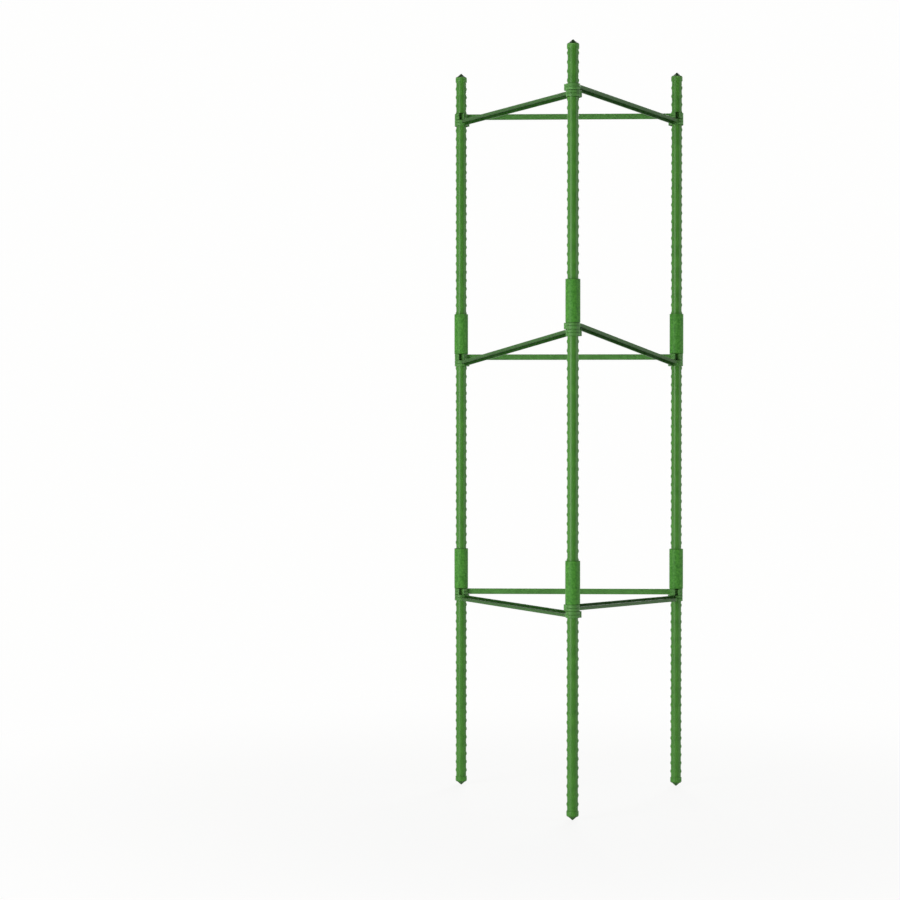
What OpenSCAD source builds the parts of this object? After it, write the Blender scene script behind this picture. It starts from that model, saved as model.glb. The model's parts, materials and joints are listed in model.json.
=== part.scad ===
// Tomato cage: three jointed poles on the corners of a triangle, tied by three rings of clip arms.
// +Z is up and the foot tips stand at z = 0. The front pole points to -Y, the other two stand behind it.

/* [Poles] */
// Distance between the axes of two poles
pole_spacing = 362; // [280:1:480]
// Length of a short stake, the lowest on every pole
short_stake_l = 358; // [280:1:450]
// Length of a medium stake, in the middle of the back poles and on top of the front pole
medium_stake_l = 392; // [320:1:480]
// Length of a long stake, on top of the back poles and in the middle of the front pole
long_stake_l = 430; // [340:1:520]

/* [Stakes] */
// Diameter of the plastic coat between the nubs
coat_d = 16.8; // [12:0.1:20]
// Thickness of the plastic coat
coat_wall = 1; // [0.8:0.1:1.6]
// Wall of the steel tube inside the coat
tube_wall = 0.6; // [0.4:0.1:1.2]
// Height of a nub above the coat
nub_h = 1.1; // [0.8:0.1:1.6]
// Length of a nub along the stake
nub_l = 6.4; // [5:0.1:8]
// Distance from one nub to the next along the stake
nub_pitch = 14; // [10:0.5:24]

/* [Caps] */
// Length of the skirt of an end cap
cap_skirt_l = 9; // [6:0.1:12]
// Thickness of a cap between the end of the stake and the cone
cap_floor = 1.2; // [0.8:0.1:2]
// Height of the cone of a cap
cap_cone_h = 5.5; // [4:0.1:9]
// Radius of the rounded shoulder between the skirt and the cone
cap_shoulder = 2.6; // [1:0.1:2.8]
// Radius of the rounded tip of a cap
cap_tip_r = 1.6; // [1:0.1:2.5]

/* [Couplers] */
// Length of a coupler
coupler_l = 67; // [50:1:90]
// Wall of a coupler
coupler_wall = 1.8; // [1.6:0.1:3.5]
// Height of the ring inside a coupler that the stakes stop on
stop_h = 3; // [2:0.1:5]
// Radius of the rounded ends of a coupler
coupler_round = 0.7; // [0.3:0.1:0.8]

/* [Clip arms] */
// Height of a clip
clip_h = 10; // [8:0.1:14]
// Wall of a clip
clip_wall = 1.2; // [1.2:0.1:3]
// Radius of the groove around the middle of a clip
clip_groove_r = 0.5; // [0.3:0.1:0.6]
// Width of the mouth of a clip
mouth_w = 5; // [4:0.1:8]
// Thickness of a lip beside the mouth
lip_t = 3; // [2:0.1:4]
// How far the lips reach out past the clip
lip_reach = 2.4; // [2:0.1:5]
// Height of the bar between two clips
bar_h = 9.4; // [7:0.1:10]
// Thickness of the bar
bar_t = 2.4; // [1.8:0.1:3.5]
// Height of the rail along one edge of the bar
rail_h = 5.4; // [3:0.1:6.5]
// How far the rail stands out from the bar
rail_d = 5; // [3:0.1:6]

/* [Rings] */
// Distance from the tips of the poles down to the top ring
top_ring_drop = 68; // [40:1:150]

/* [Fits] */
// Clearance between the nubs and the bore of a clip
clip_clear = 0.25; // [0.2:0.05:0.5]
// Clearance between the nubs and the bore of a coupler
coupler_clear = 0.2; // [0.1:0.05:0.4]
// Clearance between a stake and the skirt of its cap
cap_clear = 0.1; // [0.05:0.05:0.2]
// Layer of glue between a steel tube and its coat
glue_gap = 0.25; // [0.2:0.05:0.4]
// Gap between two clips that are stacked on one pole
stack_gap = 0.4; // [0.3:0.1:1]
// Gap between a coupler and the ring below it
ring_gap = 0.3; // [0.2:0.1:2]

/* [Hidden] */
$fn = 64;
overrun = 1;
arc_steps = 6;

coat_r = coat_d / 2;
crest_r = coat_r + nub_h;
coat_bore_r = coat_r - coat_wall;
tube_r = coat_bore_r - glue_gap;
tube_bore_r = tube_r - tube_wall;

// A nub is the cap of a sphere that bulges out of the coat
nub_ball_r = (pow(nub_l / 2, 2) + pow(nub_h, 2)) / (2 * nub_h);
nub_ball_x = crest_r - nub_ball_r;
// The ends of a stake are bare where a cap goes on
nub_margin = cap_skirt_l + nub_l / 2;
nub_sides = [90, -90];

cone_r = crest_r - cap_shoulder;
end_h = cap_cone_h + cap_floor;
// The cone runs from its foot to the rounded tip, which it meets without a corner
tip_z = cap_cone_h - cap_tip_r;
tip_slope = atan2(tip_z, cone_r) + asin(cap_tip_r / norm([tip_z, cone_r]));

coupler_bore_r = crest_r + coupler_clear;
coupler_r = coupler_bore_r + coupler_wall;

clip_bore_r = crest_r + clip_clear;
clip_r = clip_bore_r + clip_wall;
clip_pitch = clip_h + stack_gap;
lip_end = clip_r + lip_reach;
// The bar leaves a clip level, and slopes only past the lips of the clips that it is stacked with
bend_x = lip_end + bar_t;
// The bar ends halfway through the wall of a clip
bar_trim_r = clip_bore_r + clip_wall / 2;

triangle_h = pole_spacing * sqrt(3) / 2;

poles = ["left", "right", "front"];
sections = ["bottom", "middle", "top"];
joints = ["lower", "upper"];
rings = ["low", "middle", "top"];
// Each arm runs from one pole to the next, with the outside of the cage on its left,
// and each end is the first or the second clip from the top of its stack
arms = [
    ["back", "left", 0, "right", 0],
    ["right", "right", 1, "front", 0],
    ["left", "front", 1, "left", 1],
];

function pole_at(pole) =
    pole == "front" ? [0, -triangle_h / 2] :
    pole == "left" ? [-pole_spacing / 2, triangle_h / 2] :
    [pole_spacing / 2, triangle_h / 2];

// The front pole has its medium and long stakes the other way round
function stake_lengths(pole) =
    pole == "front" ? [short_stake_l, long_stake_l, medium_stake_l] :
    [short_stake_l, medium_stake_l, long_stake_l];

// Height of the lower end of a stake
function stake_z(pole, i) =
    i == 0 ? end_h : stake_z(pole, i - 1) + stake_lengths(pole)[i - 1] + stop_h;

// Height of the middle of a coupler
function coupler_z(pole, i) = stake_z(pole, i + 1) - stop_h / 2;

// Height of a pole from tip to tip
function pole_h(pole) = stake_z(pole, 2) + stake_lengths(pole)[2] + end_h;

// Height of the top of a ring's stack of clips on a pole
function ring_top_z(pole, ring) =
    ring == "top" ? pole_h(pole) - top_ring_drop :
    coupler_z(pole, ring == "middle" ? 1 : 0) - coupler_l / 2 - ring_gap;

// The rail is on the upper edge of the bars, but the arms of the low ring are clipped on upside down
function rail_side(ring) = ring == "low" ? -1 : 1;

// Height of the middle of a clip
function clip_z(pole, ring, place) = ring_top_z(pole, ring) - clip_h / 2 - place * clip_pitch;

// Points on an arc
function arc(center, r, from, to) =
    [for (i = [0:arc_steps]) let (a = from + (to - from) * i / arc_steps)
        center + r * [cos(a), sin(a)]];

module at_pole(pole, z) {
    at = pole_at(pole);
    translate([at.x, at.y, z]) children();
}

// Plastic coat of a stake, with a row of nubs down each side
module stake(pole, i) {
    l = stake_lengths(pole)[i];
    nubs = floor((l - 2 * nub_margin) / nub_pitch);
    first_nub = (l - nubs * nub_pitch) / 2;
    color([0.35, 0.58, 0.28])
    at_pole(pole, stake_z(pole, i))
    rotate(nub_sides[0])
    difference() {
        union() {
            cylinder(r = coat_r, h = l);
            for (k = [0:nubs], side = nub_sides)
                rotate(side) translate([nub_ball_x, 0, first_nub + k * nub_pitch]) sphere(r = nub_ball_r);
        }
        translate([0, 0, -overrun]) cylinder(r = coat_bore_r, h = l + 2 * overrun);
    }
}

// Steel tube inside a stake
module tube(pole, i) {
    l = stake_lengths(pole)[i];
    color([0.62, 0.63, 0.65])
    at_pole(pole, stake_z(pole, i))
    difference() {
        cylinder(r = tube_r, h = l);
        translate([0, 0, -overrun]) cylinder(r = tube_bore_r, h = l + 2 * overrun);
    }
}

// Sleeve over the ends of two stakes, which stop on the ring in its middle
module coupler(pole, i) {
    end = coupler_l / 2;
    stop = stop_h / 2;
    mouth_r = coupler_bore_r + coupler_round;
    color([0.29, 0.50, 0.23])
    at_pole(pole, coupler_z(pole, i))
    rotate_extrude()
    polygon(concat(
        arc([coupler_r - coupler_round, coupler_round - end], coupler_round, -90, 0),
        arc([coupler_r - coupler_round, end - coupler_round], coupler_round, 0, 90),
        [
            [mouth_r, end], [coupler_bore_r, end - coupler_round],
            [coupler_bore_r, stop], [tube_bore_r, stop],
            [tube_bore_r, -stop], [coupler_bore_r, -stop],
            [coupler_bore_r, coupler_round - end], [mouth_r, -end],
        ]
    ));
}

// Pointed cap with its tip at z = 0, and its skirt over the end of a stake above it
module cap() {
    skirt_r = coat_r + cap_clear;
    skirt_z = cap_cone_h + cap_skirt_l;
    color([0.24, 0.42, 0.19])
    rotate_extrude()
    polygon(concat(
        [[0, end_h]],
        arc([0, cap_tip_r], cap_tip_r, -90, tip_slope - 90),
        arc([cone_r, cap_cone_h + cap_shoulder], cap_shoulder, -90, 0),
        [[crest_r, skirt_z], [skirt_r, skirt_z], [skirt_r, end_h]]
    ));
}

module foot_cap(pole) {
    at_pole(pole, 0) cap();
}

module top_cap(pole) {
    at_pole(pole, pole_h(pole)) mirror([0, 0, 1]) cap();
}

// Split ring with a groove around it, and two lips beside a mouth that opens to -Y
module clip() {
    difference() {
        union() {
            difference() {
                cylinder(r = clip_r, h = clip_h, center = true);
                rotate_extrude() translate([clip_r, 0]) circle(r = clip_groove_r);
            }
            for (side = [-1, 1])
                translate([side * (mouth_w + lip_t) / 2, 0, 0]) lip();
        }
        cylinder(r = clip_bore_r, h = clip_h + 2 * overrun, center = true);
        translate([-mouth_w / 2, -lip_end - overrun, -clip_h / 2 - overrun])
            cube([mouth_w, lip_end + overrun, clip_h + 2 * overrun]);
    }
}

// Upright strip that reaches from the pole to a round end
module lip() {
    round_y = lip_t / 2 - lip_end;
    translate([0, round_y, 0]) cylinder(d = lip_t, h = clip_h, center = true);
    translate([-lip_t / 2, round_y, -clip_h / 2]) cube([lip_t, -round_y, clip_h]);
}

// Upright outline of a strip that is level at both clips and slopes between them
module sloping_strip(h, rise) {
    far_x = pole_spacing - bend_x;
    polygon([
        [0, -h / 2], [bend_x, -h / 2], [far_x, rise - h / 2], [pole_spacing, rise - h / 2],
        [pole_spacing, rise + h / 2], [far_x, rise + h / 2], [bend_x, h / 2], [0, h / 2],
    ]);
}

// Bar from pole to pole, with a rail along the upper or lower edge of its outer side
module bar(rise, side) {
    rail_z = side * (bar_h - rail_h) / 2;
    difference() {
        rotate([90, 0, 0]) {
            linear_extrude(bar_t, center = true) sloping_strip(bar_h, rise);
            translate([0, rail_z, -bar_t / 2 - rail_d])
                linear_extrude(bar_t / 2 + rail_d) sloping_strip(rail_h, rise);
        }
        for (end = [[0, 0], [pole_spacing, rise]])
            translate([end.x, 0, end.y]) cylinder(r = bar_trim_r, h = clip_h + 2 * overrun, center = true);
    }
}

// Clip arm: a bar with a clip at each end
module arm(ring, ends) {
    from = pole_at(ends[1]);
    way = pole_at(ends[3]) - from;
    from_z = clip_z(ends[1], ring, ends[2]);
    rise = clip_z(ends[3], ring, ends[4]) - from_z;
    color([0.29, 0.44, 0.24])
    translate([from.x, from.y, from_z])
    rotate(atan2(way.y, way.x)) {
        clip();
        translate([pole_spacing, 0, rise]) clip();
        bar(rise, rail_side(ring));
    }
}

function stake_name(pole, i) = str(pole, "_", sections[i], "_stake");
function tube_name(pole, i) = str(pole, "_", sections[i], "_tube");
function coupler_name(pole, i) = str(pole, "_", joints[i], "_coupler");
function top_cap_name(pole) = str(pole, "_top_cap");
function foot_cap_name(pole) = str(pole, "_foot_cap");
function arm_name(ring, ends) = str(ring, "_", ends[0], "_arm");

for (pole = poles) {
    for (i = [0:2]) {
        stake(pole, i);
        tube(pole, i);
    }
    for (i = [0:1])
        coupler(pole, i);
    top_cap(pole);
    foot_cap(pole);
}
for (ring = rings, ends = arms)
    arm(ring, ends);
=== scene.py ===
import json
import math

import bmesh
import bpy
from mathutils import Matrix, Vector


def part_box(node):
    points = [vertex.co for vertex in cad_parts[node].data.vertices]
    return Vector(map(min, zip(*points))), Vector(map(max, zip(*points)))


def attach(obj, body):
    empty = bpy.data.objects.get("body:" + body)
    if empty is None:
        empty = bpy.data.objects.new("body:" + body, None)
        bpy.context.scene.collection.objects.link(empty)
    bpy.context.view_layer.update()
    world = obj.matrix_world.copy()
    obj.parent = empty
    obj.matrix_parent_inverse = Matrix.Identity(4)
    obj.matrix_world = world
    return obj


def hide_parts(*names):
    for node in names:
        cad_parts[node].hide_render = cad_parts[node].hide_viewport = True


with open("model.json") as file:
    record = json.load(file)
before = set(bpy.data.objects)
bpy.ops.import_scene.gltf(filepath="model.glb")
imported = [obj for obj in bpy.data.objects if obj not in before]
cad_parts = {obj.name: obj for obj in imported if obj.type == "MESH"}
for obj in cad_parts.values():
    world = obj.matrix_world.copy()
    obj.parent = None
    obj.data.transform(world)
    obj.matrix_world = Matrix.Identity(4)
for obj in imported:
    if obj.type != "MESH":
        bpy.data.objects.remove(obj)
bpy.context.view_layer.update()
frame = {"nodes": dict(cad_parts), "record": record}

mm = 0.001
mounts = frame["record"]["mounts"]
poleAxis = {mount["name"].replace("_foot", ""): Vector(mount["pos_m"][:2] + [0]) for mount in mounts}
bodies = frame["record"]["behaviour"]["bodies"]
bodyOf = {node: body for body, members in bodies.items() for node in members}
print("frame: poles at", {pole: tuple(round(v, 3) for v in axis) for pole, axis in poleAxis.items()})


# Shared by the shader trees and the geometry trees
def addNode(tree, kind, values=None, **settings):
    node = tree.nodes.new(kind)
    for name, setting in settings.items():
        setattr(node, name, setting)
    for name, value in (values or {}).items():
        if isinstance(value, bpy.types.NodeSocket):
            tree.links.new(value, node.inputs[name])
        else:
            node.inputs[name].default_value = value
    return node


# A screen colour, 0 to 255, as the linear colour that shaders take, by the sRGB formula
def paint(red, green, blue):
    shares = [channel / 255 for channel in (red, green, blue)]
    return [s / 12.92 if s <= 0.04045 else ((s + 0.055) / 1.055) ** 2.4 for s in shares] + [1.0]


# Green garden plastic: mottled, with flow lines, pale where it is worn or where light is painted on, and
# darker and dull where shade is painted on
plastic = {
    "flowDetail": 3.0, "mottleDetail": 5.0, "mottleRoughness": 0.6, "grainDetail": 2.0, "bumpStrength": 0.5,
    "mottleLevels": (0.3, 0.7),     # noise at the two ends of the mottle
    "flowLevels": (0.5, 0.85),      # noise between which a flow line comes up
    "patchLevels": (0.35, 0.62),    # noise between which a mark comes up
    "rubbedLeast": 0.7, "dirtLeast": 0.8,       # what is left of a mark where it is faintest
}


def gardenPlastic(name, look):
    material = bpy.data.materials.new(name)
    material.use_nodes = True
    tree = material.node_tree
    shader = tree.nodes["Principled BSDF"]
    place = addNode(tree, "ShaderNodeTexCoord").outputs["Object"]
    flowPlace = addNode(tree, "ShaderNodeMapping", {"Vector": place, "Scale": look["flowScale"]})
    flow = addNode(tree, "ShaderNodeTexNoise", {
        "Vector": flowPlace.outputs[0], "Scale": 1.0, "Detail": plastic["flowDetail"]}).outputs[0]
    mottle = addNode(tree, "ShaderNodeTexNoise", {
        "Vector": place, "Scale": look["mottleScale"],
        "Detail": plastic["mottleDetail"], "Roughness": plastic["mottleRoughness"]}).outputs[0]
    grain = addNode(tree, "ShaderNodeTexNoise", {
        "Vector": place, "Scale": look["grainScale"], "Detail": plastic["grainDetail"]}).outputs[0]

    def spread(value, levels, low, high):
        ends = {"Value": value, "From Min": levels[0], "From Max": levels[1], "To Min": low, "To Max": high}
        return addNode(tree, "ShaderNodeMapRange", ends).outputs["Result"]

    # Inputs 6 and 7 of a Mix node are its two colours
    def tint(share, colour, over):
        return addNode(tree, "ShaderNodeMix", {0: share, 6: over, 7: colour}, data_type="RGBA").outputs[2]

    def patchy(attribute, share, least):
        mask = addNode(tree, "ShaderNodeAttribute", attribute_name=attribute).outputs["Fac"]
        broken = spread(mottle, plastic["patchLevels"], least * share, share)
        return addNode(tree, "ShaderNodeMath", {0: mask, 1: broken}, operation="MULTIPLY").outputs[0]

    def bump(height, depth, **under):
        values = {"Height": height, "Distance": depth, "Strength": plastic["bumpStrength"], **under}
        return addNode(tree, "ShaderNodeBump", values).outputs[0]

    colour = tint(spread(mottle, plastic["mottleLevels"], 0.0, 1.0), look["colour"], look["deep"])
    colour = tint(spread(flow, plastic["flowLevels"], 0.0, look["flowShare"]), look["pale"], colour)
    shader.inputs["Specular IOR Level"].default_value = look["gloss"]
    # Paler mark: wear on nub crests, clips and rail faces; painted highlight on the caps and painted light on
    # the arms' inward side
    if "rubbedShare" in look:
        colour = tint(patchy("rubbed", look["rubbedShare"], plastic["rubbedLeast"]), look["pale"], colour)
    # Painted shade: a darker colour, with the gloss taken away, where the mesh marks it
    if "dirtShare" in look:
        dirt = patchy("dirt", look["dirtShare"], plastic["dirtLeast"])
        colour = tint(dirt, look["dirty"], colour)
        tree.links.new(spread(dirt, (0.0, 1.0), look["gloss"], 0.0), shader.inputs["Specular IOR Level"])
    rough = spread(mottle, plastic["mottleLevels"], *look["roughness"])
    tree.links.new(colour, shader.inputs["Base Color"])
    tree.links.new(rough, shader.inputs["Roughness"])
    flowBump = bump(flow, look["flowDepth"])
    tree.links.new(bump(grain, look["grainDepth"], Normal=flowBump), shader.inputs["Normal"])
    return material


# Bare welded tube, drawn along its length
def drawnSteel(name, look):
    material = bpy.data.materials.new(name)
    material.use_nodes = True
    tree = material.node_tree
    shader = tree.nodes["Principled BSDF"]
    shader.inputs["Metallic"].default_value = 1.0
    place = addNode(tree, "ShaderNodeTexCoord").outputs["Object"]
    drawn = addNode(tree, "ShaderNodeMapping", {"Vector": place, "Scale": look["drawnScale"]})
    lines = addNode(tree, "ShaderNodeTexNoise",
                    {"Vector": drawn.outputs[0], "Scale": 1.0, "Detail": look["drawnDetail"]})
    ramp = addNode(tree, "ShaderNodeValToRGB", {"Fac": lines.outputs[0]})
    ramp.color_ramp.elements[0].color = look["deep"]
    ramp.color_ramp.elements[1].color = look["colour"]
    low, high = look["roughness"]
    rough = addNode(tree, "ShaderNodeMapRange", {"Value": lines.outputs[0], "To Min": low, "To Max": high})
    tree.links.new(ramp.outputs[0], shader.inputs["Base Color"])
    tree.links.new(rough.outputs[0], shader.inputs["Roughness"])
    return material


# A closed outline from corners (across, up, radius), each corner rounded to its radius
def softened(corners, steps=4):
    points = []
    for i, (x, y, radius) in enumerate(corners):
        corner = Vector((x, y))
        if not radius:
            points.append(corner)
            continue
        before = (Vector(corners[i - 1][:2]) - corner).normalized()
        after = (Vector(corners[(i + 1) % len(corners)][:2]) - corner).normalized()
        half = before.angle(after) / 2
        centre = corner + (before + after).normalized() * (radius / math.sin(half))
        start = corner + before * (radius / math.tan(half)) - centre
        sweep = start.angle_signed(corner + after * (radius / math.tan(half)) - centre)
        for k in range(steps + 1):
            turn = Matrix.Rotation(-sweep * k / steps, 2)
            points.append(centre + turn @ start)
    return points


# Points on an arc, angles in degrees
def arcPoints(centre, radius, start, end, steps):
    angles = [math.radians(start + (end - start) * k / steps) for k in range(steps + 1)]
    return [Vector((centre[0] + radius * math.cos(a), centre[1] + radius * math.sin(a))) for a in angles]


# Turns an outline of (radius, height) points round an upright axis
def turned(outline, axis, around):
    shape = bmesh.new()
    rings = []
    for radius, height in outline:
        turns = around if radius > 0 else 1
        angles = [2 * math.pi * k / turns for k in range(turns)]
        spots = [Vector((radius * math.cos(a), radius * math.sin(a), height)) for a in angles]
        rings.append([shape.verts.new(axis + spot) for spot in spots])
    for ring, after in zip(rings, rings[1:] + rings[:1]):
        for k in range(around):
            corners = [ring[k % len(ring)], ring[(k + 1) % len(ring)],
                       after[(k + 1) % len(after)], after[k % len(after)]]
            corners = list(dict.fromkeys(corners))
            if len(corners) > 2:
                shape.faces.new(corners)
    bmesh.ops.recalc_face_normals(shape, faces=shape.faces)
    return shape


# A mesh becomes a finished piece that stands for one node and moves as it does
def finishPiece(name, mesh, node, material, sharpAngle):
    mesh.name = name
    mesh.materials.clear()
    mesh.materials.append(material)
    mesh.shade_smooth()
    mesh.set_sharp_from_angle(angle=math.radians(sharpAngle))
    piece = bpy.data.objects.new(name, mesh)
    bpy.context.scene.collection.objects.link(piece)
    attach(piece, bodyOf[node])
    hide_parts(node)


def meshFrom(shape):
    mesh = bpy.data.meshes.new("shape")
    shape.to_mesh(mesh)
    shape.free()
    return mesh


# The evaluated mesh of an object whose modifiers make the shape
def settledMesh(source):
    bpy.context.view_layer.update()
    evaluated = source.evaluated_get(bpy.context.evaluated_depsgraph_get())
    mesh = bpy.data.meshes.new_from_object(evaluated)
    source.modifiers.clear()
    bpy.data.objects.remove(source)
    return mesh


# Stakes: plastic coats with two rows of nubs
coat = {
    "radius": 8.4 * mm, "wall": 1 * mm, "nubHeight": 1.1 * mm, "nubLength": 6.4 * mm, "nubPitch": 14 * mm,
    "bareEnd": 12.2 * mm,       # no nubs nearer to an end than this
    "nubBlend": 0.7 * mm,       # soft foot round each nub
    "around": 48, "rowStep": 1 * mm, "sharpAngle": 38,
    "weld": 0.02 * mm,          # closes the seam of the rolled grid
    "look": {
        "colour": paint(73, 135, 46), "deep": paint(59, 118, 36), "pale": paint(106, 158, 80), "gloss": 0.28,
        "flowScale": (520, 520, 7), "flowShare": 0.22, "flowDepth": 0.12 * mm, "rubbedShare": 0.35,
        "mottleScale": 55.0, "grainScale": 2600.0, "grainDepth": 0.04 * mm, "roughness": (0.36, 0.46),
    },
}
coatPlastic = gardenPlastic("coatPlastic", coat["look"])


# A grid is rolled into a tube: from the foot of the bore up the outside, over the top and back down the bore
def nubbedCoatTree():
    tree = bpy.data.node_groups.new("nubbedCoat", "GeometryNodeTree")
    tree.interface.new_socket(name="Geometry", in_out="OUTPUT", socket_type="NodeSocketGeometry")
    inputs = {}
    for name in ("Length", "Coat Radius", "Bore Radius", "Nub Height", "Nub Length", "Nub Pitch",
                 "First Nub", "Last Nub", "Nub Blend", "Axis X", "Axis Y", "Bottom"):
        inputs[name] = tree.interface.new_socket(name=name, in_out="INPUT", socket_type="NodeSocketFloat")
    for name in ("Around", "Rows"):
        inputs[name] = tree.interface.new_socket(name=name, in_out="INPUT", socket_type="NodeSocketInt")
    inputs["Material"] = tree.interface.new_socket(
        name="Material", in_out="INPUT", socket_type="NodeSocketMaterial")
    size = tree.nodes.new("NodeGroupInput").outputs

    def calc(operation, *values):
        return addNode(tree, "ShaderNodeMath", dict(enumerate(values)), operation=operation).outputs[0]

    grid = addNode(tree, "GeometryNodeMeshGrid", {
        "Size X": 1.0, "Size Y": 1.0,
        "Vertices X": calc("ADD", size["Around"], 1), "Vertices Y": calc("ADD", size["Rows"], 3)})
    spot = addNode(tree, "ShaderNodeSeparateXYZ",
                   {"Vector": tree.nodes.new("GeometryNodeInputPosition").outputs[0]})
    angle = calc("MULTIPLY", calc("ADD", spot.outputs["X"], 0.5), 2 * math.pi)
    row = calc("MULTIPLY", calc("ADD", spot.outputs["Y"], 0.5), calc("ADD", size["Rows"], 2))
    outside = calc("MULTIPLY", calc("GREATER_THAN", row, 0.5),
                   calc("LESS_THAN", row, calc("ADD", size["Rows"], 0.5)))
    climb = calc("DIVIDE", calc("SUBTRACT", row, 1), calc("SUBTRACT", size["Rows"], 1))
    climb = calc("MINIMUM", calc("MAXIMUM", climb, 0), 1)
    rising = calc("LESS_THAN", row, calc("ADD", size["Rows"], 1.5))
    height = calc("MULTIPLY", calc("MULTIPLY", climb, rising), size["Length"])

    # A nub is the cap of a ball that bulges out of the coat, one row on each side
    halfNub = calc("DIVIDE", size["Nub Length"], 2)
    ball = calc("DIVIDE", calc("ADD", calc("POWER", halfNub, 2), calc("POWER", size["Nub Height"], 2)),
                calc("MULTIPLY", size["Nub Height"], 2))
    ballOut = calc("SUBTRACT", calc("ADD", size["Coat Radius"], size["Nub Height"]), ball)
    count = calc("ROUND", calc("DIVIDE", calc("SUBTRACT", height, size["First Nub"]), size["Nub Pitch"]))
    count = calc("MINIMUM", calc("MAXIMUM", count, 0), size["Last Nub"])
    nubHeight = calc("ADD", size["First Nub"], calc("MULTIPLY", count, size["Nub Pitch"]))
    offNub = calc("SUBTRACT", height, nubHeight)
    facing = calc("ABSOLUTE", calc("COSINE", angle))
    aside = calc("MULTIPLY", calc("POWER", ballOut, 2), calc("SUBTRACT", 1, calc("POWER", facing, 2)))
    under = calc("SUBTRACT", calc("SUBTRACT", calc("POWER", ball, 2), calc("POWER", offNub, 2)), aside)
    reach = calc("ADD", calc("MULTIPLY", ballOut, facing), calc("SQRT", calc("MAXIMUM", under, 0)))
    skin = calc("SMOOTH_MAX", reach, size["Coat Radius"], size["Nub Blend"])
    radius = calc("ADD", calc("MULTIPLY", skin, outside),
                  calc("MULTIPLY", size["Bore Radius"], calc("SUBTRACT", 1, outside)))

    point = addNode(tree, "ShaderNodeCombineXYZ", {
        "X": calc("ADD", size["Axis X"], calc("MULTIPLY", radius, calc("COSINE", angle))),
        "Y": calc("ADD", size["Axis Y"], calc("MULTIPLY", radius, calc("SINE", angle))),
        "Z": calc("ADD", size["Bottom"], height)})
    # On the coats the paler mark is wear on the nub crests
    crest = calc("DIVIDE", calc("SUBTRACT", skin, size["Coat Radius"]), size["Nub Height"])
    rubbed = calc("MULTIPLY", calc("POWER", calc("MAXIMUM", crest, 0), 2), outside)
    marked = addNode(tree, "GeometryNodeStoreNamedAttribute",
                     {"Geometry": grid.outputs["Mesh"], "Name": "rubbed", "Value": rubbed})
    rolled = addNode(tree, "GeometryNodeSetPosition",
                     {"Geometry": marked.outputs[0], "Position": point.outputs[0]})
    closed = addNode(tree, "GeometryNodeMergeByDistance",
                     {"Geometry": rolled.outputs[0], "Distance": coat["weld"]})
    plain = addNode(tree, "GeometryNodeRealizeInstances", {"Geometry": closed.outputs[0]})
    clad = addNode(tree, "GeometryNodeSetMaterial",
                   {"Geometry": plain.outputs[0], "Material": size["Material"]})
    tree.links.new(clad.outputs[0], tree.nodes.new("NodeGroupOutput").inputs["Geometry"])
    return tree, {name: socket.identifier for name, socket in inputs.items()}


coatTree, coatInputs = nubbedCoatTree()


def makeCoat(pole, section):
    node = f"{pole}_{section}_stake"
    low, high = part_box(node)
    length = high.z - low.z
    nubs = math.floor((length - 2 * coat["bareEnd"]) / coat["nubPitch"])
    values = {
        "Length": length, "Coat Radius": coat["radius"], "Bore Radius": coat["radius"] - coat["wall"],
        "Nub Height": coat["nubHeight"], "Nub Length": coat["nubLength"], "Nub Pitch": coat["nubPitch"],
        "First Nub": (length - nubs * coat["nubPitch"]) / 2, "Last Nub": float(nubs),
        "Nub Blend": coat["nubBlend"], "Axis X": poleAxis[pole].x, "Axis Y": poleAxis[pole].y,
        "Bottom": low.z, "Around": coat["around"], "Rows": round(length / coat["rowStep"]) + 1,
        "Material": coatPlastic,
    }
    source = bpy.data.objects.new("coatSource", bpy.data.meshes.new("coatSource"))
    rolling = source.modifiers.new("nubbedCoat", "NODES")
    rolling.node_group = coatTree
    for name, value in values.items():
        rolling[coatInputs[name]] = value
    bpy.context.scene.collection.objects.link(source)
    name = f"{pole}_{section}_coat"
    finishPiece(name, settledMesh(source), node, coatPlastic, coat["sharpAngle"])


for pole in poleAxis:
    for section in ("bottom", "middle", "top"):
        makeCoat(pole, section)
print("stakes: 9 nubbed coats")


# Couplers: sleeves with a stop ring inside, over the ends of two stakes
sleeve = {
    "wall": 1.8 * mm, "stopHeight": 3 * mm, "stopBore": 6.55 * mm,
    "endRound": 0.7 * mm, "stopRound": 0.25 * mm, "around": 72, "sharpAngle": 38,
    "soiledRim": 0.6,           # share of a rim's rounding that gets painted shade
    "look": {
        "colour": paint(88, 158, 62), "deep": paint(50, 111, 34), "pale": paint(104, 156, 84), "gloss": 0.14,
        "dirty": paint(26, 54, 19), "flowScale": (150, 150, 60), "flowShare": 0.25, "flowDepth": 0.1 * mm,
        "mottleScale": 280.0, "grainScale": 2200.0, "grainDepth": 0.09 * mm, "roughness": (0.42, 0.56),
        "dirtShare": 0.9,
    },
}
sleevePlastic = gardenPlastic("sleevePlastic", sleeve["look"])


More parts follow.
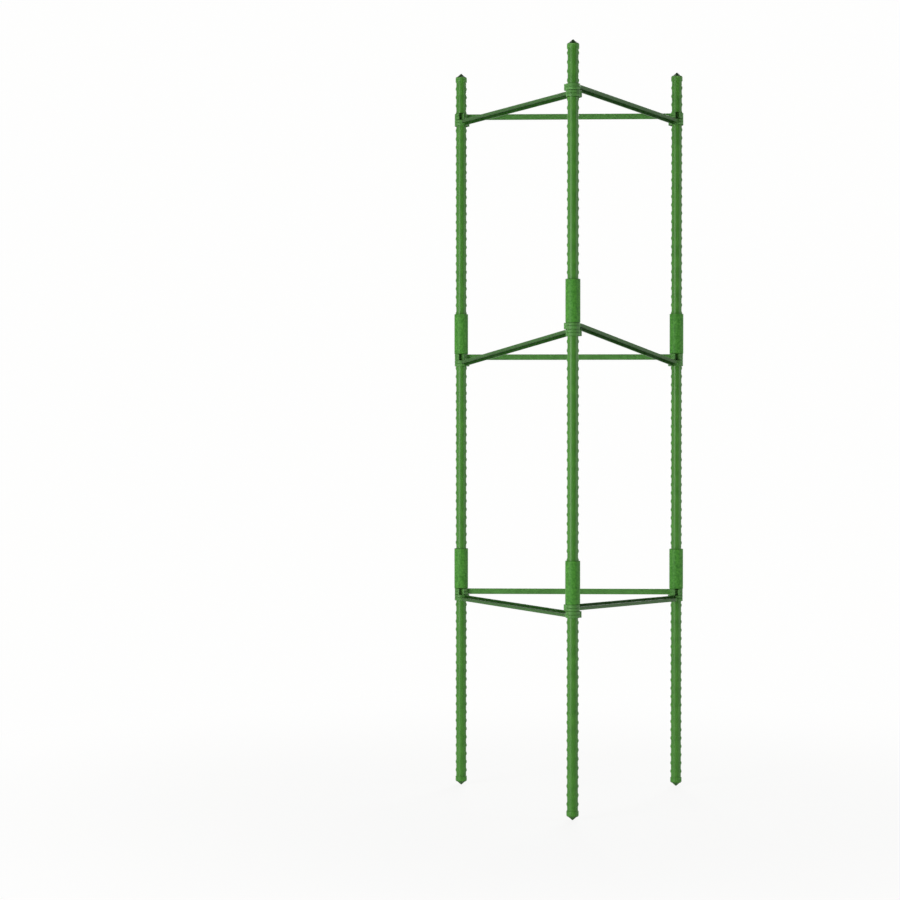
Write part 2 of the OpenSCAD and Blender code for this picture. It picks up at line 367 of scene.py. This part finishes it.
def makeSleeve(pole, joint):
    node = f"{pole}_{joint}_coupler"
    low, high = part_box(node)
    outer, end, stop = (high.x - low.x) / 2, (high.z - low.z) / 2, sleeve["stopHeight"] / 2
    bore = outer - sleeve["wall"]
    rim, step = sleeve["endRound"], sleeve["stopRound"]
    outline = softened([
        (outer, -end, rim), (outer, end, rim), (bore, end, rim),
        (bore, stop, step), (sleeve["stopBore"], stop, step),
        (sleeve["stopBore"], -stop, step), (bore, -stop, step), (bore, -end, rim),
    ])
    axis = poleAxis[pole] + Vector((0, 0, (low.z + high.z) / 2))
    mesh = meshFrom(turned(outline, axis, sleeve["around"]))
    # Painted shade round both rims, where the sleeve's ends meet the stake
    dirt = mesh.attributes.new("dirt", "FLOAT", "POINT")
    for i, vertex in enumerate(mesh.vertices):
        fromEnd = min(vertex.co.z - low.z, high.z - vertex.co.z)
        dirt.data[i].value = 1.0 if fromEnd < rim * sleeve["soiledRim"] else 0.0
    name = f"{pole}_{joint}_sleeve"
    finishPiece(name, mesh, node, sleevePlastic, sleeve["sharpAngle"])


for pole in poleAxis:
    for joint in ("lower", "upper"):
        makeSleeve(pole, joint)
print("couplers: 6 sleeves")


# Caps: a pointed end with a skirt over the stake
point = {
    "coneHeight": 5.5 * mm, "floor": 1.2 * mm, "shoulder": 2.6 * mm, "tipRadius": 1.6 * mm,
    "skirtClear": 0.1 * mm, "edge": 0.3 * mm,
    "tipSteps": 6, "shoulderSteps": 8, "around": 64, "sharpAngle": 25,
    "soiled": {"top": 0.95, "foot": 0.5}, "soiledShoulder": 0.55,   # how dark the painted shade on the point is, darker on top caps, and how far down the shoulder it reaches
    "rubbedLine": 0.9 * mm, "lineWithin": 0.1 * mm,     # painted highlight line under the shoulder of top caps, and what is on it
    "look": {
        "colour": paint(76, 139, 49), "deep": paint(62, 122, 38), "pale": paint(132, 180, 112), "gloss": 0.24,
        "dirty": paint(24, 48, 17), "flowScale": (180, 180, 180), "flowShare": 0.2, "flowDepth": 0.08 * mm,
        "mottleScale": 260.0, "grainScale": 2600.0, "grainDepth": 0.06 * mm, "roughness": (0.36, 0.5),
        "rubbedShare": 0.7, "dirtShare": 1.0,
    },
}
pointPlastic = gardenPlastic("pointPlastic", point["look"])


def makePoint(pole, end):
    node = f"{pole}_{end}_cap"
    low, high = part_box(node)
    cone, tip, shoulder, edge = (point[size] for size in ("coneHeight", "tipRadius", "shoulder", "edge"))
    outer, skirt = (high.x - low.x) / 2, high.z - low.z
    bore, floor = coat["radius"] + point["skirtClear"], cone + point["floor"]
    base, rise = outer - shoulder, cone - tip
    sideStart = cone + shoulder
    slope = math.degrees(math.atan2(rise, base) + math.asin(tip / math.hypot(rise, base)))
    outline = arcPoints((0, tip), tip, -90, slope - 90, point["tipSteps"])
    outline += arcPoints((base, sideStart), shoulder, -90, 0, point["shoulderSteps"])
    outline += softened([
        (outer, sideStart, 0), (outer, sideStart + point["rubbedLine"], 0), (outer, skirt, edge),
        (bore, skirt, edge / 2), (bore, floor, 0), (0, floor, 0),
    ])[1:]
    outline[0].x = 0
    upward = end == "top"
    outline = [(radius, high.z - height if upward else low.z + height) for radius, height in outline]
    mesh = meshFrom(turned(outline, poleAxis[pole], point["around"]))
    dirt = mesh.attributes.new("dirt", "FLOAT", "POINT")
    rubbed = mesh.attributes.new("rubbed", "FLOAT", "POINT")
    # Painted shade on the cone and the top of the shoulder, darker on top caps than on feet
    shadedTo = cone + point["soiledShoulder"] * shoulder
    for i, vertex in enumerate(mesh.vertices):
        fromTip = high.z - vertex.co.z if upward else vertex.co.z - low.z
        dirt.data[i].value = point["soiled"][end] if fromTip < shadedTo else 0.0
        # Painted highlight: a pale line under the shoulder of top caps
        onLine = upward and abs(fromTip - sideStart) < point["lineWithin"]
        rubbed.data[i].value = 1.0 if onLine else 0.0
    name = f"{pole}_{end}_point"
    finishPiece(name, mesh, node, pointPlastic, point["sharpAngle"])


for pole in poleAxis:
    for end in ("top", "foot"):
        makePoint(pole, end)
print("caps: 6 points")


# Clip arms: a bar with a rail along one edge, and a split clip at each end
clipArm = {
    "clipHeight": 10 * mm, "boreRadius": 9.75 * mm, "clipWall": 1.2 * mm, "grooveRadius": 0.5 * mm,
    "mouth": 5 * mm, "lipThick": 3 * mm, "lipReach": 2.4 * mm, "clipEdge": 0.35 * mm, "mouthRound": 0.4 * mm,
    "ringSteps": 72, "boreSteps": 66, "lipSteps": 10, "mouthSteps": 3,
    "barHeight": 9.4 * mm, "barThick": 2.4 * mm, "railHeight": 5.4 * mm, "railDepth": 5 * mm,
    "barEdge": 0.45 * mm, "railFoot": 0.6 * mm, "barStep": 12 * mm,
    "weld": 0.002 * mm, "sharpAngle": 32,
    "ends": {"back": ("left", "right"), "right": ("right", "front"), "left": ("front", "left")},
    # how dark the painted shade is in the recess under the rail, on the rail's underside, in the grooves and
    # at the clip edges
    "dirt": {"recess": 1.0, "underRail": 0.5, "groove": 0.7, "clipEdge": 0.5},
    # how pale: painted light on the bar's inward side, wear on the rail face and the clips
    "rubbed": {"railFace": 0.25, "inwardSide": 1.0, "clip": 1.0},
    "within": {                 # what counts as on a surface when marks are set
        "ring": 0.01 * mm, "barFace": 0.05 * mm, "shelf": 0.1 * mm, "recess": 1 * mm, "railFace": 0.3 * mm,
        "groove": 0.3 * mm, "grooveFloor": (0.2 * mm, 0.8 * mm), "clipTop": 0.2 * mm, "clipEdge": 0.5 * mm,
    },
    "look": {
        "colour": paint(51, 91, 38), "deep": paint(42, 81, 30), "pale": paint(88, 146, 70), "gloss": 0.22,
        "dirty": paint(28, 66, 18), "flowScale": (70, 70, 160), "flowShare": 0.2, "flowDepth": 0.1 * mm,
        "mottleScale": 120.0, "grainScale": 2400.0, "grainDepth": 0.06 * mm, "roughness": (0.4, 0.52),
        "rubbedShare": 0.9, "dirtShare": 1.0,
    },
}
armPlastic = gardenPlastic("armPlastic", clipArm["look"])
clipReach = clipArm["boreRadius"] + clipArm["clipWall"]         # from a pole's axis to the outside of a clip
bend = clipReach + clipArm["lipReach"] + clipArm["barThick"]    # from a pole's axis to the start of the slope


# Outline of a clip from above, and 1 for each of its points that the groove cuts
def clipOutline():
    bore, corner = clipArm["boreRadius"], clipArm["mouthRound"]
    halfMouth, lipRound = clipArm["mouth"] / 2, clipArm["lipThick"] / 2
    side = halfMouth + clipArm["lipThick"]
    lipY = lipRound - clipReach - clipArm["lipReach"]
    foot = math.degrees(math.asin(side / clipReach))
    gap = math.degrees(math.asin(halfMouth / bore))
    ring = arcPoints((0, 0), clipReach, foot - 90, 270 - foot, clipArm["ringSteps"])
    inside = arcPoints((0, 0), bore, 270 - gap, gap - 90, clipArm["boreSteps"])
    lips = [arcPoints((x, lipY), lipRound, 180, 360, clipArm["lipSteps"])
            for x in (-halfMouth - lipRound, halfMouth + lipRound)]
    stretches = [(ring[1:-1], 0), (ring[-1:], corner), (lips[0], 0), (inside[:1], corner),
                 (inside[1:-1], 0), (inside[-1:], corner), (lips[1], 0), (ring[:1], corner)]
    outline = softened([(p.x, p.y, radius) for points, radius in stretches for p in points],
                       clipArm["mouthSteps"])

    def grooved(p):
        clearOfLips = p.y > 0 or p.y > lipY + lipRound and abs(p.x) > side + corner
        return clearOfLips and p.length > clipReach - clipArm["within"]["ring"]

    return outline, [1 if grooved(p) else 0 for p in outline]


# Height, inset and groove depth of each loop of a clip: its rounded edges, and the groove round its middle
def clipLoops():
    top, edge, groove = clipArm["clipHeight"] / 2, clipArm["clipEdge"], clipArm["grooveRadius"]
    quarter = [math.radians(a) for a in (0, 30, 60, 90)]
    loops = [(top - edge * (1 - math.cos(a)), edge * (1 - math.sin(a)), 0) for a in quarter]
    loops += [(groove * math.cos(a), 0, groove * math.sin(a)) for a in quarter]
    return loops + [(-height, inset, cut) for height, inset, cut in reversed(loops[:-1])]


def clipShape(centre):
    outline, cuts = clipOutline()
    count = len(outline)
    normals = []
    for i in range(count):
        along = (outline[(i + 1) % count] - outline[i - 1]).normalized()
        normals.append(Vector((along.y, -along.x)))
    shape = bmesh.new()
    rings = []
    for height, inset, cut in clipLoops():
        flat = [p - n * (inset + cut * c) for p, n, c in zip(outline, normals, cuts)]
        rings.append([shape.verts.new(centre + Vector((p.x, p.y, height))) for p in flat])
    for ring, after in zip(rings, rings[1:]):
        for k in range(count):
            shape.faces.new((ring[k], ring[k - 1], after[k - 1], after[k]))
    ends = [shape.faces.new(rings[0]), shape.faces.new(rings[-1])]
    bmesh.ops.triangulate(shape, faces=ends)
    bmesh.ops.recalc_face_normals(shape, faces=shape.faces)
    return shape


# The bar's section, with the rail on its upper edge, or on its lower edge when the arm is upside down
def barSection(railSide):
    half, top, edge = clipArm["barThick"] / 2, clipArm["barHeight"] / 2, clipArm["barEdge"]
    shelf, front = top - clipArm["railHeight"], half + clipArm["railDepth"]
    section = softened([
        (-half, -top, edge), (half, -top, edge), (half, shelf, clipArm["railFoot"]),
        (front, shelf, edge), (front, top, edge), (-half, top, edge),
    ])
    return [(y, railSide * z) for y, z in section]


# Height of the middle of the bar: level past both clips, and an even slope between the two bends
def barRise(x, span, rise):
    share = min(max((x - bend) / (span - 2 * bend), 0), 1)
    return rise * share


# The bar ends in the middle of each clip's wall
def barShape(span, rise, railSide):
    section = barSection(railSide)
    trim = clipArm["boreRadius"] + clipArm["clipWall"] / 2
    steps = round((span - 2 * bend) / clipArm["barStep"])
    stations = [bend + (span - 2 * bend) * k / steps for k in range(steps + 1)]
    shape = bmesh.new()
    loops = []
    for x in [None] + stations + [span]:
        loop = []
        for y, z in section:
            setBack = math.sqrt(trim ** 2 - y ** 2)
            at = setBack if x is None else span - setBack if x == span else x
            loop.append(shape.verts.new((at, y, z + barRise(at, span, rise))))
        loops.append(loop)
    for loop, after in zip(loops, loops[1:]):
        for k in range(len(section)):
            shape.faces.new((loop[k], loop[k - 1], after[k - 1], after[k]))
    shape.faces.new(loops[0])
    shape.faces.new(loops[-1])
    bmesh.ops.recalc_face_normals(shape, faces=shape.faces)
    return shape


# Bars and clips are one moulding
def joined(shapes):
    sources = [bpy.data.objects.new("moulding", meshFrom(shape)) for shape in shapes]
    for source in sources:
        bpy.context.scene.collection.objects.link(source)
    for other in sources[1:]:
        union = sources[0].modifiers.new("union", "BOOLEAN")
        union.operation, union.solver, union.object = "UNION", "EXACT", other
    shape = bmesh.new()
    shape.from_mesh(settledMesh(sources[0]))
    bmesh.ops.remove_doubles(shape, verts=shape.verts, dist=clipArm["weld"])
    for other in sources[1:]:
        bpy.data.objects.remove(other)
    return meshFrom(shape)


# Painted shade in the recess under the rail, on the rail's underside, in the grooves and at the clips' top
# and bottom edges; painted light on the bar's inward side, and the clips and the rail face worn pale
def markArm(mesh, span, rise, railSide):
    dirty, wearAndLight, within = clipArm["dirt"], clipArm["rubbed"], clipArm["within"]
    half, shelf = clipArm["barThick"] / 2, clipArm["barHeight"] / 2 - clipArm["railHeight"]
    front, clipTop = half + clipArm["railDepth"], clipArm["clipHeight"] / 2
    grooveFrom, grooveTo = within["grooveFloor"]
    dirt = mesh.attributes.new("dirt", "FLOAT", "POINT")
    rubbed = mesh.attributes.new("rubbed", "FLOAT", "POINT")
    for i, vertex in enumerate(mesh.vertices):
        x, y, z = vertex.co
        z = railSide * (z - barRise(x, span, rise))
        if clipReach < x < span - clipReach:
            # Painted shade in the recess under the rail
            if y > half - within["barFace"] and z < shelf + within["shelf"]:
                dirt.data[i].value = dirty["recess"] if y < half + within["recess"] else dirty["underRail"]
            if y > front - within["railFace"] and z > shelf + within["recess"]:
                rubbed.data[i].value = wearAndLight["railFace"]
            # Painted light: the inward side of the bar is painted paler
            if y < 0:
                rubbed.data[i].value = wearAndLight["inwardSide"]
        else:
            rubbed.data[i].value = wearAndLight["clip"]
            inset = clipReach - math.hypot(x if x < clipReach * 2 else x - span, y)
            # Painted shade in the groove and at the clip's top and bottom edges
            if abs(z) < within["groove"] and grooveFrom < inset < grooveTo:
                dirt.data[i].value = dirty["groove"]
            if abs(z) > clipTop - within["clipTop"] and inset < within["clipEdge"]:
                dirt.data[i].value = dirty["clipEdge"]


def makeArm(ring, side):
    node = f"{ring}_{side}_arm"
    low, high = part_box(node)
    start, end = clipArm["ends"][side]
    lowClip, highClip = low.z + clipArm["clipHeight"] / 2, high.z - clipArm["clipHeight"] / 2
    startZ, endZ = (highClip, lowClip) if start == "front" else (lowClip, highClip)
    way = poleAxis[end] - poleAxis[start]
    span, rise = way.length, endZ - startZ
    railSide = -1 if ring == "low" else 1
    clips = [clipShape(Vector((0, 0, 0))), clipShape(Vector((span, 0, rise)))]
    mesh = joined([barShape(span, rise, railSide)] + clips)
    markArm(mesh, span, rise, railSide)
    turn = Matrix.Rotation(math.atan2(way.y, way.x), 4, "Z")
    mesh.transform(Matrix.Translation(poleAxis[start] + Vector((0, 0, startZ))) @ turn)
    name = f"{ring}_{side}_clip_arm"
    finishPiece(name, mesh, node, armPlastic, clipArm["sharpAngle"])


for ring in ("low", "middle", "top"):
    for side in clipArm["ends"]:
        makeArm(ring, side)
print("clip arms: 3 rings of 3")


# Steel tubes inside the stakes
tubeLook = {
    "colour": paint(205, 207, 210), "deep": paint(150, 152, 156), "drawnScale": (900, 900, 12),
    "drawnDetail": 4.0, "roughness": (0.28, 0.45),
}
tubeSteel = drawnSteel("tubeSteel", tubeLook)
tubes = [node for node in frame["nodes"] if node.endswith("_tube")]
for node in tubes:
    frame["nodes"][node].data.materials.clear()
    frame["nodes"][node].data.materials.append(tubeSteel)
print("tubes:", len(tubes), "of drawn steel")


# Pale studio: a floor that keeps a soft shadow, a white surround and soft lamps
studio = {
    "floorSize": 60.0, "floorColour": (0.9, 0.9, 0.89, 1.0),
    "shadowShare": 0.1, "shadowReach": (0.35, 1.3),     # how much shadow shows, and where it fades
    "white": (0.992, 0.992, 0.988, 1.0), "surround": 0.08,
    "frontMirrored": 0.25,      # share of the white in a reflection of the front
    "floorDepth": (-1.0, 0.6), "surroundDepth": (-0.4, 0.5),    # where that share rises to 1
    "lamps": {
        "key": {"place": (-2.34, -2.18, 0.7), "size": (1.3, 1.6), "power": 86.0},
        "fill": {"place": (3.05, -0.54, 0.9), "size": (1.0, 1.8), "power": 30.0},
        "back": {"place": (0.4, 2.6, 2.4), "size": (1.6, 1.8), "power": 70.0},
    },
    "aim": (0.0, 0.0, 0.62),
}


# Share of the background's white that shows: all of it straight on, and less of the front in a reflection
def seenWhite(tree, place, depth):
    path = tree.nodes.new("ShaderNodeLightPath").outputs
    spot = addNode(tree, "ShaderNodeSeparateXYZ", {"Vector": place})
    share = addNode(tree, "ShaderNodeMapRange", {
        "Value": spot.outputs["Y"], "From Min": depth[0], "From Max": depth[1],
        "To Min": studio["frontMirrored"], "To Max": 1.0})
    shiny = addNode(tree, "ShaderNodeMath", {0: path["Is Glossy Ray"], 1: path["Is Transmission Ray"]},
                    operation="MAXIMUM")
    mirrored = addNode(tree, "ShaderNodeMath", {0: shiny.outputs[0], 1: share.outputs[0]},
                       operation="MULTIPLY")
    return addNode(tree, "ShaderNodeMath", {0: path["Is Camera Ray"], 1: mirrored.outputs[0]},
                   operation="MAXIMUM").outputs[0]


def makeFloor():
    half = studio["floorSize"] / 2
    mesh = bpy.data.meshes.new("floor")
    corners = [(-half, -half, 0), (half, -half, 0), (half, half, 0), (-half, half, 0)]
    mesh.from_pydata(corners, [], [(0, 1, 2, 3)])
    floor = bpy.data.objects.new("floor", mesh)
    bpy.context.scene.collection.objects.link(floor)
    material = bpy.data.materials.new("paleFloor")
    material.use_nodes = True
    tree = material.node_tree
    tree.nodes.clear()
    matte = addNode(tree, "ShaderNodeBsdfDiffuse", {"Color": studio["floorColour"]})
    glow = addNode(tree, "ShaderNodeEmission", {"Color": studio["white"]})
    place = addNode(tree, "ShaderNodeTexCoord").outputs["Object"]
    away = addNode(tree, "ShaderNodeVectorMath", {0: place}, operation="LENGTH")
    near, far = studio["shadowReach"]
    plain = addNode(tree, "ShaderNodeMapRange", {
        "Value": away.outputs["Value"], "From Min": near, "From Max": far,
        "To Min": 1 - studio["shadowShare"], "To Max": 1.0}, interpolation_type="SMOOTHSTEP")
    white = seenWhite(tree, place, studio["floorDepth"])
    share = addNode(tree, "ShaderNodeMath", {0: white, 1: plain.outputs[0]}, operation="MULTIPLY")
    mix = addNode(tree, "ShaderNodeMixShader", {0: share.outputs[0], 1: matte.outputs[0], 2: glow.outputs[0]})
    addNode(tree, "ShaderNodeOutputMaterial", {"Surface": mix.outputs[0]})
    mesh.materials.append(material)


def makeSurround():
    world = bpy.data.worlds.new("studio")
    bpy.context.scene.world = world
    world.use_nodes = True
    tree = world.node_tree
    tree.nodes.clear()
    way = addNode(tree, "ShaderNodeTexCoord").outputs["Generated"]
    strength = addNode(tree, "ShaderNodeMapRange", {
        "Value": seenWhite(tree, way, studio["surroundDepth"]), "To Min": studio["surround"], "To Max": 1.0})
    glow = addNode(tree, "ShaderNodeBackground", {"Color": studio["white"], "Strength": strength.outputs[0]})
    addNode(tree, "ShaderNodeOutputWorld", {"Surface": glow.outputs[0]})


def makeLamps():
    aim = Vector(studio["aim"])
    for name, lamp in studio["lamps"].items():
        light = bpy.data.lights.new(name, "AREA")
        light.shape = "RECTANGLE"
        light.size, light.size_y = lamp["size"]
        light.energy = lamp["power"]
        holder = bpy.data.objects.new(name, light)
        holder.location = lamp["place"]
        holder.rotation_euler = (aim - holder.location).to_track_quat("-Z", "Y").to_euler()
        holder.visible_camera = False
        bpy.context.scene.collection.objects.link(holder)


makeFloor()
makeSurround()
makeLamps()
print("studio: floor, surround and", len(studio["lamps"]), "lamps")


# Camera: far back and a little to the left, at about half the cage's height
camera = {"place": (-0.073, -3.394, 0.6127), "turn": 2.048, "tilt": -0.756, "lens": 84.17, "sensor": 36.0}
eye = bpy.data.objects.new("camera", bpy.data.cameras.new("camera"))
eye.data.lens, eye.data.sensor_width = camera["lens"], camera["sensor"]
eye.location = camera["place"]
eye.rotation_euler = (math.radians(90 + camera["tilt"]), 0, math.radians(camera["turn"]))
bpy.context.scene.collection.objects.link(eye)
bpy.context.scene.camera = eye
bpy.context.scene.view_settings.view_transform = "Standard"
